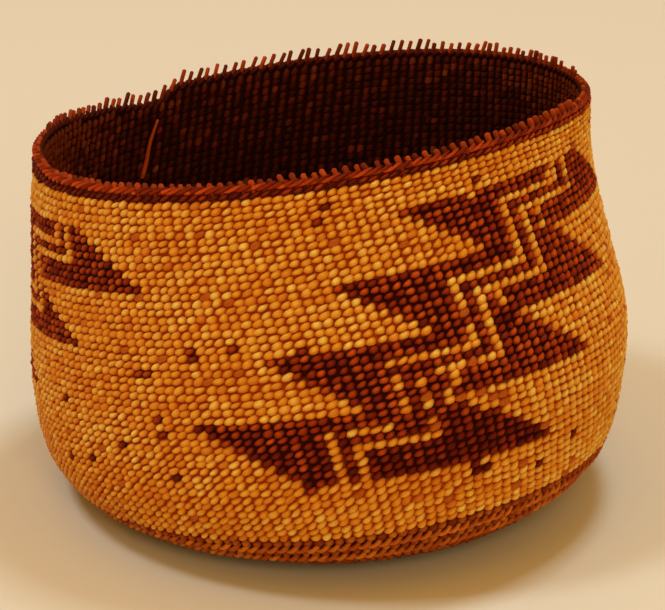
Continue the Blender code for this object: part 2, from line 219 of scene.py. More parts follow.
def tube_mesh(paths, radii, closed, flat=1.0):
    """Tubes along many paths of as many points. flat is their thickness as a share of their width."""
    count, length, _ = paths.shape
    if closed:
        ahead = np.roll(paths, -1, axis=1) - np.roll(paths, 1, axis=1)
    else:
        ahead = np.gradient(paths, axis=1)
    ahead /= np.linalg.norm(ahead, axis=-1, keepdims=True)
    out = paths * np.array([1, 1, 0]) - np.array([0, 0, TUBE_DOWNWARD])
    out -= ahead * np.sum(out * ahead, axis=-1, keepdims=True)
    out /= np.linalg.norm(out, axis=-1, keepdims=True)
    beside = np.cross(ahead, out)
    spin = np.arange(TUBE_SIDES)
    after = (spin + 1) % TUBE_SIDES
    turn = 2 * pi * spin / TUBE_SIDES
    ring = out[:, :, None, :] * np.cos(turn)[:, None] * flat
    ring = ring + beside[:, :, None, :] * np.sin(turn)[:, None]
    points = paths[:, :, None, :] + ring * radii[:, :, None, None]
    points = points.reshape(count, -1, 3)
    i = np.arange(length if closed else length - 1)[:, None]
    j, k = spin[None], after[None]
    here, there = i * TUBE_SIDES, (i + 1) % length * TUBE_SIDES
    quads = np.stack([here + j, here + k, there + k, there + j], axis=-1).reshape(-1, 4)
    corners = quads.ravel()
    sizes = np.full(len(quads), 4)
    u = np.stack([i + 0 * j, i + 0 * j, i + 1 + 0 * j, i + 1 + 0 * j], axis=-1) / length
    v = np.stack([j + 0 * i, j + 1 + 0 * i, j + 1 + 0 * i, j + 0 * i], axis=-1) / TUBE_SIDES
    maps = np.stack([u, v], axis=-1).reshape(-1, 2)
    if not closed:
        first_tip = paths[:, 0] - ahead[:, 0] * radii[:, :1] * TUBE_END
        last_tip = paths[:, -1] + ahead[:, -1] * radii[:, -1:] * TUBE_END
        points = np.concatenate([points, np.stack([first_tip, last_tip], axis=1)], axis=1)
        last = (length - 1) * TUBE_SIDES
        pole = length * TUBE_SIDES
        first_fan = np.stack([after, spin, 0 * spin + pole], axis=-1)
        last_fan = np.stack([last + spin, last + after, 0 * spin + pole + 1], axis=-1)
        corners = np.concatenate([corners, first_fan.ravel(), last_fan.ravel()])
        sizes = np.concatenate([sizes, np.full(2 * TUBE_SIDES, 3)])
        fan_v = np.stack([spin + 1, spin, spin + 0.5], axis=-1).ravel() / TUBE_SIDES
        fan_u = np.tile([0.02, 0.02, 0], TUBE_SIDES)
        maps = np.concatenate([maps, np.stack([fan_u, fan_v], -1), np.stack([1 - fan_u, 1 - fan_v], -1)])
    corners = (corners[None] + np.arange(count)[:, None] * points.shape[1]).ravel()
    return points.reshape(-1, 3), corners, np.tile(sizes, count), in_cells(maps, count)


MIX_FIRST = 6
MIX_SECOND = 7
MIX_RESULT = 2


def fibre_finish(name, colors, edge_and_shade_color, roughness, streaks, gloss):
    """Plant fibre: each strand's tone picks its colour, its edges take the root's colour and its flanks
    painted shade, and fibres run along it.
    """
    finish = bpy.data.materials.new(name)
    finish.use_nodes = True
    nodes = finish.node_tree.nodes
    link = finish.node_tree.links.new
    shader = nodes["Principled BSDF"]
    shader.inputs["Specular IOR Level"].default_value = gloss
    tone = nodes.new("ShaderNodeAttribute")
    tone.attribute_name = "tone"
    ramp = nodes.new("ShaderNodeValToRGB")
    stops = ramp.color_ramp.elements
    stops[1].position = colors[-1][0]
    for _ in colors[2:]:
        stops.new(0.5)
    for stop, (spot, color) in zip(stops, colors):
        stop.position = spot
        stop.color = (*color, 1)
    link(tone.outputs["Fac"], ramp.inputs["Fac"])
    strand_map = nodes.new("ShaderNodeUVMap")
    strand_map.uv_map = "OFBake"
    stretch = nodes.new("ShaderNodeMapping")
    stretch.inputs["Scale"].default_value = (*streaks, 1)
    link(strand_map.outputs["UV"], stretch.inputs["Vector"])
    fibres = nodes.new("ShaderNodeTexNoise")
    fibres.inputs["Scale"].default_value = 1
    fibres.inputs["Detail"].default_value = 3
    link(stretch.outputs["Vector"], fibres.inputs["Vector"])
    shade = nodes.new("ShaderNodeMapRange")
    shade.inputs["From Min"].default_value = 0.3
    shade.inputs["From Max"].default_value = 0.7
    shade.inputs["To Min"].default_value = 0.78
    shade.inputs["To Max"].default_value = 1.12
    link(fibres.outputs["Fac"], shade.inputs["Value"])
    streaked = nodes.new("ShaderNodeMix")
    streaked.data_type = "RGBA"
    streaked.blend_type = "MULTIPLY"
    streaked.inputs["Factor"].default_value = 1
    link(ramp.outputs["Color"], streaked.inputs[MIX_FIRST])
    link(shade.outputs["Result"], streaked.inputs[MIX_SECOND])
    edge_and_shade = nodes.new("ShaderNodeAttribute")
    edge_and_shade.attribute_name = "edge_and_shade"
    edge_and_shade_mix = nodes.new("ShaderNodeMix")
    edge_and_shade_mix.data_type = "RGBA"
    edge_and_shade_mix.inputs[MIX_SECOND].default_value = (*edge_and_shade_color, 1)
    link(edge_and_shade.outputs["Fac"], edge_and_shade_mix.inputs["Factor"])
    link(streaked.outputs[MIX_RESULT], edge_and_shade_mix.inputs[MIX_FIRST])
    link(edge_and_shade_mix.outputs[MIX_RESULT], shader.inputs["Base Color"])
    dullness = nodes.new("ShaderNodeMapRange")
    dullness.inputs["To Min"].default_value = roughness - 0.08
    dullness.inputs["To Max"].default_value = roughness + 0.12
    link(fibres.outputs["Fac"], dullness.inputs["Value"])
    link(dullness.outputs["Result"], shader.inputs["Roughness"])
    relief = nodes.new("ShaderNodeBump")
    relief.inputs["Strength"].default_value = 0.35
    relief.inputs["Distance"].default_value = 0.0001
    link(fibres.outputs["Fac"], relief.inputs["Height"])
    link(relief.outputs["Normal"], shader.inputs["Normal"])
    return finish


warp_finish = fibre_finish(
    "peeled_shoots", colors=[(0, (0.10, 0.009, 0.001)), (1, (0.44, 0.052, 0.005))],
    edge_and_shade_color=(0.05, 0.008, 0.003), roughness=0.6, streaks=(60, 60), gloss=0.06)
wall_rows = np.arange(FULL_ROW, TOP_ROW - 4, WARP_ROW_STEP)


def warp_path(column, rows):
    """Path of one warp from a row of the base up to its trimmed tip."""
    spot = column % WARPS
    tip = TIP_ROWS_FRONT + (TIP_ROWS_BACK - TIP_ROWS_FRONT) * share_back(column)
    tip *= 1 - 0.8 * (abs(spot - WORN_TIPS_RIGHT) < 7) - 0.7 * (spot in BROKEN_TIPS)
    tip *= 1 - 0.5 * np.clip((spot - SHORT_TIPS_FROM) / 6, 0, 1) - 0.35 * (abs(spot - WORN_TIPS_LEFT) < 8)
    top = wall_height(column) + 0.5 + tip * chance.uniform(*TIP_LENGTHS)
    rows = np.concatenate([rows, [TOP_ROW - 3.6], np.linspace(TOP_ROW - 2.6, top, TIP_POINTS)])
    bend = np.clip(rows - TOP_ROW + 0.8, 0, 3)
    return place(rows, column - bend * chance.uniform(*TIP_LEANS), WARP_DEPTH)


def near_start(reach):
    """1 where the two bundles cross, 0 from the edge of the start outwards."""
    return np.clip((START_REACH - reach) / START_EDGE, 0, 1)


def bundle_sticks(arm, lift):
    """The five long shoots of one bundle, from tip to tip across the base."""
    paths = []
    for i in range(BUNDLE):
        near = warp_path(arm * QUARTER + i - BUNDLE // 2, wall_rows)
        far = warp_path((arm + 2) * QUARTER + BUNDLE // 2 - i, wall_rows)
        share = np.linspace(0, 1, 21)[1:-1, None]
        middle = near[0] * (1 - share) + far[0] * share
        reach = np.hypot(middle[:, 0], middle[:, 1]) / MM
        middle[:, 2] += lift * MM * near_start(reach)
        paths.append(np.concatenate([near[::-1], middle, far]))
    return np.array(paths)


def fan_sticks(quarter):
    """The shoots laid in between two arms of the cross, each from the row where it was added."""
    every_fourth, every_second, others = FAN_STARTS
    paths = []
    for i in range(BUNDLE // 2 + 1, QUARTER - BUNDLE // 2):
        start = others if i % 2 else (every_second if i % 4 else every_fourth)
        rows = np.concatenate([np.linspace(start, FAN_END, 6), wall_rows])
        paths.append(warp_path(quarter * QUARTER + i, rows))
    return np.array(paths)


def warp_radii(paths):
    """Shoots are thinner on the base. Those of a bundle begin at a tip and are stout at the crossing."""
    reach = np.hypot(paths[:, :, 0], paths[:, :, 1]) / MM
    in_bundle = paths[0, 0, 2] > 30 * MM
    thinnest = THIN_RADIUS + STOUT_EXTRA * in_bundle * near_start(reach)
    size = np.clip(reach * 2 * pi / WARPS * WARP_FILL, thinnest, WARP_RADIUS)
    size[:, -TIP_POINTS:] *= np.where(paths[:, -1:, 1] > 0, TIP_SWELL_BACK, TIP_SWELL)
    if in_bundle:
        size[:, :TIP_POINTS] *= np.where(paths[:, :1, 1] > 0, TIP_SWELL_BACK, TIP_SWELL)
    return size * chance.uniform(0.9, 1.12, (len(paths), 1)) * MM


warp_groups = {
    "start_warps_lower": bundle_sticks(arm=0, lift=0),
    "start_warps_upper": bundle_sticks(arm=1, lift=1.1),
    "added_warps_1": fan_sticks(0),
    "added_warps_2": fan_sticks(1),
    "added_warps_3": fan_sticks(2),
    "added_warps_4": fan_sticks(3),
}
for node, paths in warp_groups.items():
    points, corners, sizes, maps = tube_mesh(paths, warp_radii(paths), closed=False)
    tone = np.repeat(chance.uniform(0, 1, len(paths)), len(points) // len(paths))
    shoots = make_piece(node + "_shoots", points, corners, sizes, maps, {"tone": tone, "edge_and_shade": 0 * tone})
    shoots.data.materials.append(warp_finish)
    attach(shoots, "root")
    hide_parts(node)


# Base weft: plain twined rings of split root round the warps of the base, on which the bowl stands. Where
# warps were laid in, the stitches of a ring become twice as many.

BASE_FIRST_ROW = -26
BASE_LAST_ROW = -1
HALF_ROW = -19
STITCHES_IN_A_PIECE = 1900
# Half a stitch's length in columns, half its width in rows, and its slant in rows a column
STITCH_LENGTH = 0.60
STITCH_WIDTH = 0.52
STITCH_SLANT = 0.35
STITCH_END_DIP = 0.42
STITCH_HOOK = 0.1
STITCH_BULGE = 0.16
# How uneven the handwork is, as a share of each size, and in rows, columns and mm for the place of a stitch
UNEVEN_LENGTH = 0.07
UNEVEN_WIDTH = 0.11
UNEVEN_THICKNESS = 0.10
UNEVEN_SLANT = 0.22
UNEVEN_BULGE = 0.12
UNEVEN_ROW = 0.05
UNEVEN_COLUMN = 0.05
UNEVEN_DEPTH = 0.06


def stitch_pattern(rings, sides):
    """One stitch as a closed grain: places along, across and out of it, faces and bake map."""
    spots = -np.cos(pi * (np.arange(rings) + 0.75) / (rings + 0.5))
    spin = np.arange(sides)
    after = (spin + 1) % sides
    turn = 2 * pi * spin / sides
    along = np.concatenate([np.repeat(spots, sides), [-1, 1]])
    across = np.concatenate([np.tile(np.cos(turn), rings), [0, 0]])
    out = np.concatenate([np.tile(np.sin(turn), rings), [0, 0]])
    i = np.arange(rings - 1)[:, None]
    j, k = spin[None], after[None]
    here, there = i * sides, (i + 1) * sides
    quads = np.stack([here + j, here + k, there + k, there + j], -1).reshape(-1, 4)
    last = (rings - 1) * sides
    pole = rings * sides
    low_fan = np.stack([after, spin, 0 * spin + pole], -1)
    high_fan = np.stack([last + spin, last + after, 0 * spin + pole + 1], -1)
    corners = np.concatenate([quads.ravel(), low_fan.ravel(), high_fan.ravel()])
    sizes = np.concatenate([np.full(len(quads), 4), np.full(2 * sides, 3)])
    u = (along[corners] + 1) / 2
    quad_v = np.stack([j + 0 * i, j + 1 + 0 * i, j + 1 + 0 * i, j + 0 * i], -1)
    low_v = np.stack([spin + 1, spin, spin + 0.5], -1)
    high_v = np.stack([spin, spin + 1, spin + 0.5], -1)
    v = np.concatenate([quad_v.ravel(), low_v.ravel(), high_v.ravel()]) / sides
    return along, across, out, corners, sizes, np.stack([u, v], -1)


def twine(name, rows, columns, tone, finish, face=1, length=STITCH_LENGTH, width=STITCH_WIDTH, thick=0.9,
          slant=STITCH_SLANT, depth=0.72, rings=6, sides=8, spacing=1):
    """Half-twist stitches at given rows and columns, in pieces of limited size. face is -1 on the inside."""
    along, across, out, corners, sizes, grain_map = stitch_pattern(rings, sides)
    taper = (1 - np.abs(along) ** 2.3) ** 0.62
    slant, width, length = (np.broadcast_to(value, len(rows)) for value in (slant, width, length))
    pieces = []
    parts = int(np.ceil(len(rows) / STITCHES_IN_A_PIECE))
    for number, chosen in enumerate(np.array_split(np.arange(len(rows)), parts), start=1):
        count = len(chosen)
        uneven = chance.normal(0, 1, (8, count, 1))
        size, fullness, height, angle, row_slip, column_slip, sink, lopside = uneven
        half_length = length[chosen][:, None] * spacing * (1 + UNEVEN_LENGTH * size)
        half_width = width[chosen][:, None] * (1 + UNEVEN_WIDTH * fullness)
        slope = slant[chosen][:, None] * face * (1 + UNEVEN_SLANT * angle) / spacing
        bulge = 1 + (STITCH_BULGE + UNEVEN_BULGE * lopside) * along
        spread = taper * bulge * across * face * half_width
        lift = taper * out * thick * (1 + UNEVEN_THICKNESS * height) - STITCH_END_DIP * along ** 2
        hook = STITCH_HOOK * face * along ** 3
        points = place(
            rows[chosen][:, None] + UNEVEN_ROW * row_slip + spread + slope * along * half_length + hook,
            columns[chosen][:, None] + UNEVEN_COLUMN * column_slip + along * half_length,
            depth + UNEVEN_DEPTH * sink - face * lift,
        )
        # The edges show the root under the overlay. The flanks and the lower side are darkened as painted
        # shade, which leaves a painted highlight high on the crest.
        edge_and_shade = np.clip(1.2 - taper ** 1.6 * (0.95 * out + 0.35 * across), 0, 1) * np.ones((count, 1))
        offsets = np.arange(count)[:, None] * len(along)
        suffix = f"_{number}" if parts > 1 else ""
        piece = make_piece(
            name + suffix, points.reshape(-1, 3), (corners[None] + offsets).ravel(), np.tile(sizes, count),
            in_cells(grain_map, count), {"tone": np.repeat(tone[chosen], len(along)), "edge_and_shade": edge_and_shade})
        piece.data.materials.append(finish)
        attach(piece, "root")
        pieces.append(piece)
    return pieces


def base_rings(first_row):
    """Rows, columns and spacing of the stitches of the base, fewer to a ring towards the middle."""
    rows = []
    columns = []
    spacings = []
    for row in np.arange(first_row, BASE_LAST_ROW + 1):
        spacing = 1 if row >= FULL_ROW else (2 if row >= HALF_ROW else 4)
        ring = np.arange(0, WARPS, spacing) + (spacing - 1) / 2
        rows.append(np.full(len(ring), float(row)))
        columns.append(ring)
        spacings.append(np.full(len(ring), spacing))
    return np.concatenate(rows), np.concatenate(columns), np.concatenate(spacings)


root_finish = fibre_finish(
    "plain_root", colors=[(0, (0.17, 0.020, 0.002)), (0.5, (0.40, 0.066, 0.005)), (1, (0.72, 0.20, 0.014))],
    edge_and_shade_color=(0.12, 0.010, 0.001), roughness=0.6, streaks=(180, 330), gloss=0.08)
rows, columns, spacings = base_rings(BASE_FIRST_ROW)
for spacing in (1, 2, 4):
    here = spacings == spacing
    tone = chance.uniform(0.1, 0.7, here.sum())
    for piece in twine(f"base_weft_rings_{spacing}", rows[here], columns[here], tone, root_finish,
                       spacing=spacing):
        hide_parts("base_weft")


# Turn rows: two rows of three-strand twining stiffen the turn from the base to the wall, with plain root rows
# below, between and above them. Each strand passes over two warps outside and behind the third, like rope.

TURN_ROPE_ROWS = (5.9, 8.7)
TURN_PLAIN_ROWS = (0, 1, 2, 3, 4, 4.8, 7.3, 9.9)
STRANDS = 3
ROPE_STEPS = 6
ROPE_LAY = STRANDS * ROPE_STEPS
BEHIND_FROM = 0.68


def three_strands(row, outer_reach, inner_reach, rise):
    """Paths of the three strands of one row round the bowl."""
    steps = np.arange(WARPS * ROPE_STEPS) / ROPE_STEPS
    paths = []
    for strand in range(STRANDS):
        wave = (steps / STRANDS + strand / STRANDS) % 1
        angle = np.where(wave < 2 / 3, -pi / 2 + pi * wave * 3 / 2, pi / 2 + pi * (wave * 3 - 2))
        reach = np.where(np.cos(angle) > 0, outer_reach, inner_reach) * np.cos(angle)
        paths.append(place(row(steps) + rise * np.sin(angle), steps, WARP_DEPTH - reach))
    return np.array(paths)


def rope_row(name, row, radius, tone_range, finish, outer_reach, inner_reach, rise):
    """One row of three-strand twining, closed round the bowl. A strand gets painted shade on its flanks and
    where it passes behind a warp.
    """
    paths = three_strands(row, outer_reach, inner_reach, rise)
    steps = np.arange(WARPS * ROPE_STEPS)
    strands = np.arange(STRANDS)[:, None]
    wobble = 1 + 0.08 * np.sin(steps * 0.9 + strands)
    points, corners, sizes, maps = tube_mesh(paths, radius * MM * wobble, closed=True, flat=0.8)
    stitch_tones = chance.uniform(*tone_range, (STRANDS, WARPS // STRANDS))
    tone = np.repeat(stitch_tones[:, steps // ROPE_LAY].ravel(), TUBE_SIDES)
    turned = np.cos(2 * pi * np.arange(TUBE_SIDES) / TUBE_SIDES)
    shaded_behind_warp = (steps / ROPE_LAY + strands / STRANDS) % 1 > BEHIND_FROM
    edge_and_shade = np.maximum(np.clip(0.5 - 0.5 * turned, 0, 0.6), shaded_behind_warp[:, :, None])
    rope = make_piece(name, points, corners, sizes, maps, {"tone": tone, "edge_and_shade": edge_and_shade.ravel()})
    rope.data.materials.append(finish)
    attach(rope, "root")
    return rope


for number, rope_at in enumerate(TURN_ROPE_ROWS, start=1):
    rope = rope_row(f"turn_rope_{number}", lambda steps: rope_at + 0 * steps, radius=0.75,
                    tone_range=(0.45, 0.95), finish=root_finish, outer_reach=1.75, inner_reach=0.1, rise=0.42)
    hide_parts("turn_rows")
rows = np.repeat(TURN_PLAIN_ROWS, WARPS)
columns = np.tile(np.arange(WARPS), len(TURN_PLAIN_ROWS))
tone = np.clip(chance.normal(0.55, 0.25, len(rows)), 0, 1)
for piece in twine("turn_plain_rows", rows, columns, tone, root_finish):
    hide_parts("turn_rows")


# Light overlay: pale grass laid over the root on the outer face and given a half turn with each stitch, so
# that the gold shows outside only. It is the ground of the wall. Here and there a stitch missed it, and the
# dark stem or the bare root shows.

FIGURES = 3
REPEAT = WARPS // FIGURES
FIELD_FOOT = 11
FIELD_TOP = 56
FIGURE_TOP = 51
FIGURE_COLUMN = 10
TIERS = 4
TIER_ROWS = 8
TIER_COLUMNS = 24
# The two zigzag lines: the step of a tier at which each turns, and its left and right columns there
ZIGZAGS = ((2, 10, 18), (4, 12, 20))
RIM_BAND = 1.6
LOW_ROW = 25
LOW_FADE = 8
# Column and row of single stitches where the maker's hand slipped
DARK_IN_FIELD = [
    (-13, 37), (-9, 37), (-13, 36), (-3, 36), (-19, 34), (-18, 28), (3, 54), (2, 52), (18, 53), (-6, 19),
    (-6, 18), (9, 18), (9, 17), (10, 17), (16, 15), (-18, 34), (-32, 20), (-28, 21), (-18, 20), (-30, 29),
    (-18, 26), (-23, 24), (21, 17)]
LIGHT_IN_FIGURE = [
    (17, 51), (27, 50), (24, 44), (24, 46), (16, 38), (16, 37), (9, 30), (9, 29), (8, 28), (8, 27), (9, 27),
    (11, 27), (10, 26), (11, 26), (11, 25), (12, 25)]
LINE_MISSED = [
    (12, 36), (4, 32), (4, 29), (4, 26), (3, 25), (4, 25), (-2, 25), (7, 31), (6, 31), (6, 29), (6, 26)]
MISSED_SHARE = 0.012
MISSED_TONE = 0.08
# A patch of the ground where many stitches missed the grass: row and column of its middle, share missed
PATCH_ROW = 25.5
PATCH_COLUMN = 9
PATCH_SHARE = 0.35

grid_rows, grid_columns = np.meshgrid(np.arange(FIELD_FOOT, FIELD_TOP + 1), np.arange(WARPS), indexing="ij")
figure_of = np.zeros(grid_rows.shape, int)
line = np.zeros(grid_rows.shape, bool)
for number in range(1, FIGURES + 1):
    # The last figure, at the left end, sits a row higher and is narrower towards its foot
    at_left_end = number == FIGURES
    drop = FIGURE_TOP + at_left_end - grid_rows
    tier = np.clip(drop // TIER_ROWS, 0, TIERS - 1)
    step = drop - tier * TIER_ROWS
    start = FIGURE_COLUMN + REPEAT * (number - 1) - tier * TIER_ROWS
    along = (grid_columns - start + WARPS // 2) % WARPS - WARPS // 2
    tier_columns = TIER_COLUMNS - at_left_end * (1 + 2 * tier + (tier > 1))
    inside = (drop >= 0) & (step <= TIER_ROWS) & (along >= step) & (along < step + tier_columns)
    figure_of[inside] = number
    for turn_step, left, right in ZIGZAGS:
        left = left + (tier == TIERS - 1)
        on_line = (step == turn_step) & (along >= left) & (along <= right)
        on_line |= (step > turn_step) & (along == left)
        on_line |= (step < turn_step) & (along == right)
        line |= inside & on_line
slips = ((DARK_IN_FIELD, 1, False), (LIGHT_IN_FIGURE, 1, True), (LINE_MISSED, 1, False))
for spots, figure_number, on_line in slips:
    for column, row in spots:
        figure_of[row - FIELD_FOOT, column % WARPS] = figure_number
        line[row - FIELD_FOOT, column % WARPS] = on_line

kept = grid_rows <= wall_height(grid_columns) - RIM_BAND
missed = chance.uniform(0, 1, grid_rows.shape) < MISSED_SHARE
in_patch = (abs(grid_rows - PATCH_ROW) < 3) & (abs(grid_columns - PATCH_COLUMN) < 5)
missed |= in_patch & (chance.uniform(0, 1, grid_rows.shape) < PATCH_SHARE)
field = (figure_of == 0) & kept


def mottling(rows, columns):
    """Slow changes of tone over the wall, from the different bunches of grass that were used."""
    turn = 2 * pi * columns / WARPS
    waves = np.sin(3 * turn + rows / 5) + np.sin(11 * turn - rows / 3.1 + 1)
    waves = waves + np.sin(7 * turn + rows / 1.9 + 2)
    return waves / 3


light_finish = fibre_finish(
    "light_grass", colors=[(0, (0.30, 0.042, 0.002)), (0.3, (0.60, 0.17, 0.006)), (0.65, (0.84, 0.39, 0.020)),
                           (1, (0.98, 0.74, 0.130))],
    edge_and_shade_color=(0.50, 0.10, 0.002), roughness=0.5, streaks=(90, 420), gloss=0.14)
rightward = np.sin(2 * pi * grid_columns / WARPS)
# Low on the wall, except on the right, the grass is darker and redder as painted shade. At the very foot it
# is lighter again as painted light from the floor.
painted_shade_low_wall = np.clip((LOW_ROW - grid_rows) / LOW_FADE, 0, 1) * np.clip(1 - 1.6 * rightward, 0, 1)
light_tone = chance.normal(0.72, 0.13, grid_rows.shape)
light_tone = light_tone + 0.12 * mottling(grid_rows, grid_columns) - 0.18 * painted_shade_low_wall
light_tone += 0.08 * np.clip((LOW_ROW - 3 - grid_rows) / LOW_FADE, 0, 1)
light_tone = np.clip(light_tone, 0, 1)
light_tone[missed] = MISSED_TONE
# Low on the wall the stitches slant more and are slimmer, from higher up at the left
at_right = np.clip(2.5 * rightward, 0, 1)
low = np.clip((LOW_ROW + 6 * np.clip(-2 * rightward, 0, 1) - grid_rows) / LOW_FADE, 0, 1)
wall_slant = STITCH_SLANT + low * (0.18 - 0.1 * at_right)
wall_width = STITCH_WIDTH - low * (0.03 + 0.05 * at_right)
wall_length = STITCH_LENGTH + low * 0.03
for piece in twine("light_overlay_stitches", grid_rows[field].astype(float), grid_columns[field],
                   light_tone[field], light_finish, slant=wall_slant[field], width=wall_width[field],
                   length=wall_length[field]):
    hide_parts("light_overlay")


# Dark figures: three stepped figures of four tiers, each tier moved sideways by its own height in stitches,
# in a dark red-brown stem overlay. Two lines of the light grass, one stitch wide, zigzag down through each.

dark_finish = fibre_finish(
    "dark_stem", colors=[(0, (0.14, 0.010, 0.0006)), (0.5, (0.38, 0.034, 0.0015)), (1, (0.74, 0.105, 0.005))],
    edge_and_shade_color=(0.050, 0.002, 0.0003), roughness=0.6, streaks=(90, 420), gloss=0.06)
for number in range(1, FIGURES + 1):
    ours = (figure_of == number) & kept
    dark = ours & ~line
    darker = np.clip((LOW_ROW + 2 - grid_rows[dark]) / LOW_FADE, 0, 1)
    tone = np.clip(chance.normal(0.62, 0.25, dark.sum()) - 0.45 * darker, 0, 1)
    for piece in twine(f"dark_figure_{number}_stitches", grid_rows[dark].astype(float), grid_columns[dark],
                       tone, dark_finish, slant=wall_slant[dark], width=wall_width[dark] - 0.05, length=0.56):
        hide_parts(f"dark_figure_{number}")
    light = ours & line
    for piece in twine(f"light_lines_{number}", grid_rows[light].astype(float), grid_columns[light],
                       light_tone[light], light_finish, slant=wall_slant[light], width=wall_width[light]):
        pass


# Weft between the warps: where the two strands of a row pass each other between two warps, they show at the
# bottom of the small pits between the stitches. Their tone there is painted light and shade: golden brown
# under the grass as painted bounce light, nearly black behind the dark stem and on the inner face as painted
# shade, and dark brown elsewhere.

CORE_OUT = 1.0
CORE_IN = 2.4
CORE_FIRST_ROW = -25
CORE_RIM_STEP = 0.4
PLAIN_TONE = 0.2


def sheet_mesh(rows, columns, outer, inner):
    """Closed shell between two depths over a grid of rows and columns that goes all the way round."""
    count = len(columns)
    grid_rows, grid_columns = np.meshgrid(rows, columns, indexing="ij")
    tops = wall_height(grid_columns) + 0.1 - 0.001 * (rows[-1] - grid_rows)
    grid_rows = np.minimum(grid_rows, tops)
    outside = place(grid_rows, grid_columns, outer).reshape(-1, 3)
    inside = place(grid_rows, grid_columns, inner).reshape(-1, 3)
    half = len(outside)
    i = np.arange(len(rows) - 1)[:, None]
    j = np.arange(count)[None]
    k = (j + 1) % count
    here, there = i * count, (i + 1) * count
    skin = np.stack([here + j, here + k, there + k, there + j], -1).reshape(-1, 4)
    low = np.stack([k, j, half + j, half + k], -1).reshape(-1, 4)
    last = (len(rows) - 1) * count
    top = np.stack([last + j, last + k, half + last + k, half + last + j], -1).reshape(-1, 4)
    faces = np.concatenate([skin, skin[:, ::-1] + half, low, top])
    u = (faces % count) / count
    u = np.where((u == 0) & (u.max(axis=1, keepdims=True) > 0.5), 1, u)
    v = (faces // count) / (2 * len(rows))
    maps = np.stack([u, v], -1).reshape(-1, 2)
    return np.concatenate([outside, inside]), faces.ravel(), np.full(len(faces), 4), maps


core_finish = fibre_finish(
    "root_between_warps", colors=[(0, (0.035, 0.003, 0.0003)), (1, (0.34, 0.040, 0.001))],
    edge_and_shade_color=(0.02, 0.003, 0.001), roughness=0.8, streaks=(300, 150), gloss=0.05)
core_rows = np.append(np.arange(CORE_FIRST_ROW, TOP_ROW - 3.0),
                      np.arange(TOP_ROW - 2.8, TOP_ROW + 1.7, CORE_RIM_STEP))
points, corners, sizes, maps = sheet_mesh(core_rows, np.arange(WARPS), CORE_OUT, CORE_IN)
# Tone of the pit bottoms: painted bounce light under the grass, painted shade under the dark stem.
pit_light_and_shade = np.full((len(core_rows), WARPS), PLAIN_TONE)
in_field = (core_rows >= FIELD_FOOT) & (core_rows < FIELD_TOP)
pit_light_and_shade[in_field] = ((figure_of == 0) | line)[np.rint(core_rows[in_field]).astype(int) - FIELD_FOOT]
tone = np.tile(pit_light_and_shade.ravel(), 2)
# The inner face of the sheet is nearly black: painted shade.
shaded_inner_face = (np.arange(len(points)) >= len(points) // 2) * 1.0
core = make_piece("root_weft_between_warps", points, corners, sizes, maps, {"tone": tone, "edge_and_shade": shaded_inner_face})
core.data.materials.append(core_finish)
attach(core, "root")


# Rim rows: the last plain row of dark root above the overlay, and one more at the left end, where the wall
# was built higher.

SECOND_ROW_FROM = 0.6

rim_finish = fibre_finish(
    "dark_rim_root", colors=[(0, (0.08, 0.006, 0.0008)), (0.5, (0.29, 0.024, 0.0015)),
                             (1, (0.72, 0.085, 0.006))],
    edge_and_shade_color=(0.05, 0.003, 0.0005), roughness=0.6, streaks=(120, 200), gloss=0.06)
columns = np.arange(WARPS)
raised = columns[wall_height(columns) > TOP_ROW + SECOND_ROW_FROM]
rows = np.concatenate([wall_height(columns) - 1, wall_height(raised) - 2])
columns = np.concatenate([columns, raised])
tone = chance.uniform(0.05, 0.7, len(rows)) + 0.3 * np.clip(2 * np.sin(2 * pi * columns / WARPS) - 1, 0, 1)
for piece in twine("rim_row_stitches", rows, columns, tone, rim_finish, length=0.70, width=0.33, slant=0.55):
    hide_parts("rim_rows")


# Closing row: three strands of dark root twined round every warp end. Each passes over two warps outside and
# behind the third, and together they lock the wall below the trimmed tips.

closing = rope_row("closing_row_strands", wall_height, radius=0.52, tone_range=(0.3, 1.0), finish=rim_finish,
                   outer_reach=1.3, inner_reach=1.0, rise=0.36)
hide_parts("rim_strand_1", "rim_strand_2", "rim_strand_3")


# Inner base weft: the inner face of the base rings, in plain root dark with age and darker still as painted
# shade of the inside. It leaves the crossed start of the warps open in the middle.

INNER_DEPTH = 2.7
WINDOW_ROW = -24

# Root dark with age, its colours darkened further as painted shade of the inside. It is used for the inner
# base and the inner wall.
aged_and_shaded_finish = fibre_finish(
    "aged_root_painted_shade", colors=[(0, (0.032, 0.003, 0.0008)), (0.5, (0.095, 0.010, 0.001)),
                         (0.8, (0.27, 0.030, 0.002)), (1, (0.46, 0.10, 0.010))],
    edge_and_shade_color=(0.020, 0.002, 0.0005), roughness=0.65, streaks=(90, 420), gloss=0.05)
rows, columns, spacings = base_rings(WINDOW_ROW)
for spacing in (1, 2, 4):
    here = spacings == spacing
    tone = chance.uniform(0, 0.55, here.sum())
    for piece in twine(f"inner_base_rings_{spacing}", rows[here], columns[here], tone, aged_and_shaded_finish, face=-1,
                       depth=INNER_DEPTH, rings=5, sides=6, spacing=spacing):
        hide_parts("inner_base_weft")


# Inner wall weft: the inner face of the wall rows, plain root without overlay. The warps show as upright
# ribs, a few lighter strands show as flecks, and at one place the weft has split and bares a warp.

SPLIT_COLUMN = 103
SPLIT_ROWS = (47.3, 54.5)
BARED_DEPTH = 2.9
BARED_POINTS = 14
FLECKS = 90
FLECK_ROWS = (30, 56)

inner_rows, inner_columns = np.meshgrid(np.arange(0, TOP_ROW + 1), np.arange(WARPS), indexing="ij")
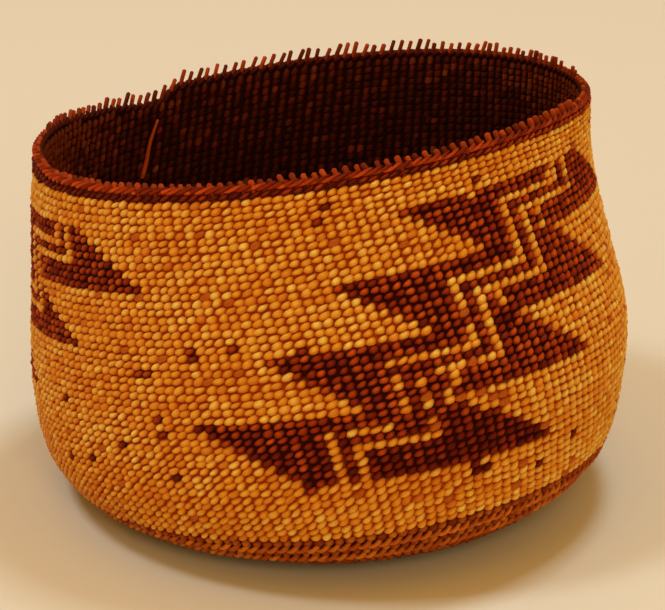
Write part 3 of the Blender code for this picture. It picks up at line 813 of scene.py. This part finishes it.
# The tone is raised near the rim and towards the two ends of the wall: painted light where light falls into
# the bowl.
painted_light_near_rim = np.clip((inner_rows - 49) / 9, 0, 1)
painted_light_at_ends = np.cos(2 * pi * (inner_columns - QUARTER) / WARPS) ** 4
tone = chance.normal(0.36, 0.16, inner_rows.shape) + painted_light_near_rim * (0.28 + 0.2 * painted_light_at_ends)
tone += 0.22 * painted_light_at_ends * np.clip((inner_rows - 40) / 8, 0, 1)
tone = np.clip(tone, 0, 0.85)
fleck_rows = chance.integers(*FLECK_ROWS, FLECKS)
fleck_columns = chance.integers(0, WARPS, FLECKS)
fleck_runs = chance.integers(1, 3, FLECKS)
for row, column, run in zip(fleck_rows, fleck_columns, fleck_runs):
    tone[row, np.arange(column, column + run) % WARPS] = chance.uniform(0.6, 0.95, run)
whole = inner_rows <= wall_height(inner_columns) - 0.6
whole &= (inner_columns != SPLIT_COLUMN) | (inner_rows < SPLIT_ROWS[0]) | (inner_rows > SPLIT_ROWS[1])
for piece in twine("inner_wall_stitches", inner_rows[whole].astype(float), inner_columns[whole], tone[whole],
                   aged_and_shaded_finish, face=-1, length=0.47, width=0.7, thick=0.65, slant=0.08, depth=INNER_DEPTH,
                   rings=5, sides=6):
    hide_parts("inner_wall_weft")
bared_rows = np.linspace(*SPLIT_ROWS, BARED_POINTS)
bared_columns = SPLIT_COLUMN + np.linspace(0.8, -0.4, BARED_POINTS) + 0.1 * np.sin(bared_rows)
path = place(bared_rows, bared_columns, BARED_DEPTH)[None]
points, corners, sizes, maps = tube_mesh(path, np.linspace(0.75, 0.4, BARED_POINTS)[None] * MM, closed=False)
bared = make_piece("bared_warp", points, corners, sizes, maps,
                   {"tone": np.ones(len(points)), "edge_and_shade": np.zeros(len(points))})
bared.data.materials.append(warp_finish)
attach(bared, "root")


# Floor, lamps and camera: the bowl stands on a seamless cream sheet in a warm room, with one soft lamp above
# it to the left, one to the right and behind, and a larger one in front. The sheet is yellower towards the
# front as painted shade of the bowl's shadows.

FLOOR_HALF = 6
LAMP_AIM = Vector((0, 0, 0.05))
CAMERA_RISE = radians(22.8)
CAMERA_DISTANCE = 1.1
CAMERA_AIM = Vector((-0.0038, 0.0061, 0.0486))
CAMERA_LENS = 220.5

floor_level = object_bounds()[0].z
floor_corners = ((-FLOOR_HALF, -FLOOR_HALF), (FLOOR_HALF, -FLOOR_HALF),
                 (FLOOR_HALF, FLOOR_HALF), (-FLOOR_HALF, FLOOR_HALF))
floor_mesh = bpy.data.meshes.new("floor")
floor_mesh.from_pydata([(x, y, floor_level) for x, y in floor_corners], [], [(0, 1, 2, 3)])
floor = bpy.data.objects.new("floor", floor_mesh)
bpy.context.scene.collection.objects.link(floor)
sheet_finish = bpy.data.materials.new("cream_sheet")
sheet_finish.use_nodes = True
sheet_nodes = sheet_finish.node_tree.nodes
sheet_link = sheet_finish.node_tree.links.new
sheet_shader = sheet_nodes["Principled BSDF"]
sheet_shader.inputs["Roughness"].default_value = 0.9
sheet_shader.inputs["Specular IOR Level"].default_value = 0.1
sheet_place = sheet_nodes.new("ShaderNodeTexCoord")
sheet_split = sheet_nodes.new("ShaderNodeSeparateXYZ")
# The sheet turns yellower towards the front: painted shade of the bowl's shadows.
painted_shade_fade = sheet_nodes.new("ShaderNodeMapRange")
painted_shade_fade.inputs["From Min"].default_value = -0.25
painted_shade_fade.inputs["From Max"].default_value = 0.35
painted_shade_tint = sheet_nodes.new("ShaderNodeMix")
painted_shade_tint.data_type = "RGBA"
painted_shade_tint.inputs[MIX_FIRST].default_value = (0.71, 0.63, 0.53, 1)
painted_shade_tint.inputs[MIX_SECOND].default_value = (0.71, 0.635, 0.585, 1)
sheet_link(sheet_place.outputs["Object"], sheet_split.inputs["Vector"])
sheet_link(sheet_split.outputs["Y"], painted_shade_fade.inputs["Value"])
sheet_link(painted_shade_fade.outputs["Result"], painted_shade_tint.inputs["Factor"])
sheet_link(painted_shade_tint.outputs[MIX_RESULT], sheet_shader.inputs["Base Color"])
floor_mesh.materials.append(sheet_finish)


def soft_lamp(name, spot, size, power, color):
    """Square soft lamp that shines at the bowl."""
    lamp = bpy.data.objects.new(name, bpy.data.lights.new(name, "AREA"))
    lamp.data.color = color
    lamp.data.size = size
    lamp.data.energy = power
    lamp.location = spot
    lamp.rotation_euler = (LAMP_AIM - Vector(spot)).to_track_quat("-Z", "Y").to_euler()
    bpy.context.scene.collection.objects.link(lamp)


soft_lamp("lamp_left", spot=(-0.75, -0.15, 1.5), size=0.3, power=8.2, color=(0.74, 0.95, 1))
soft_lamp("lamp_right", spot=(0.3, 0.35, 1.6), size=0.3, power=9.9, color=(0.74, 0.95, 1))
soft_lamp("lamp_front", spot=(0.2, -1.65, 0.95), size=0.6, power=9, color=(1, 0.84, 0.50))

room = bpy.data.worlds.new("room")
bpy.context.scene.world = room
room.use_nodes = True
room_nodes = room.node_tree.nodes
room_link = room.node_tree.links.new
room_shade = room_nodes["Background"]
room_shade.inputs["Color"].default_value = (1, 0.56, 0.10, 1)
room_place = room_nodes.new("ShaderNodeTexCoord")
room_split = room_nodes.new("ShaderNodeSeparateXYZ")
room_rise = room_nodes.new("ShaderNodeMapRange")
room_rise.inputs["To Min"].default_value = 0.5
room_rise.inputs["To Max"].default_value = 0.7
room_link(room_place.outputs["Generated"], room_split.inputs["Vector"])
room_link(room_split.outputs["Z"], room_rise.inputs["Value"])
room_link(room_rise.outputs["Result"], room_shade.inputs["Strength"])

camera = bpy.data.objects.new("camera", bpy.data.cameras.new("camera"))
camera.data.lens = CAMERA_LENS
back = Vector((0, -cos(CAMERA_RISE), sin(CAMERA_RISE)))
camera.location = CAMERA_AIM + back * CAMERA_DISTANCE
camera.rotation_euler = (-back).to_track_quat("-Z", "Y").to_euler()
bpy.context.scene.collection.objects.link(camera)
bpy.context.scene.camera = camera
bpy.context.scene.view_settings.view_transform = "Standard"
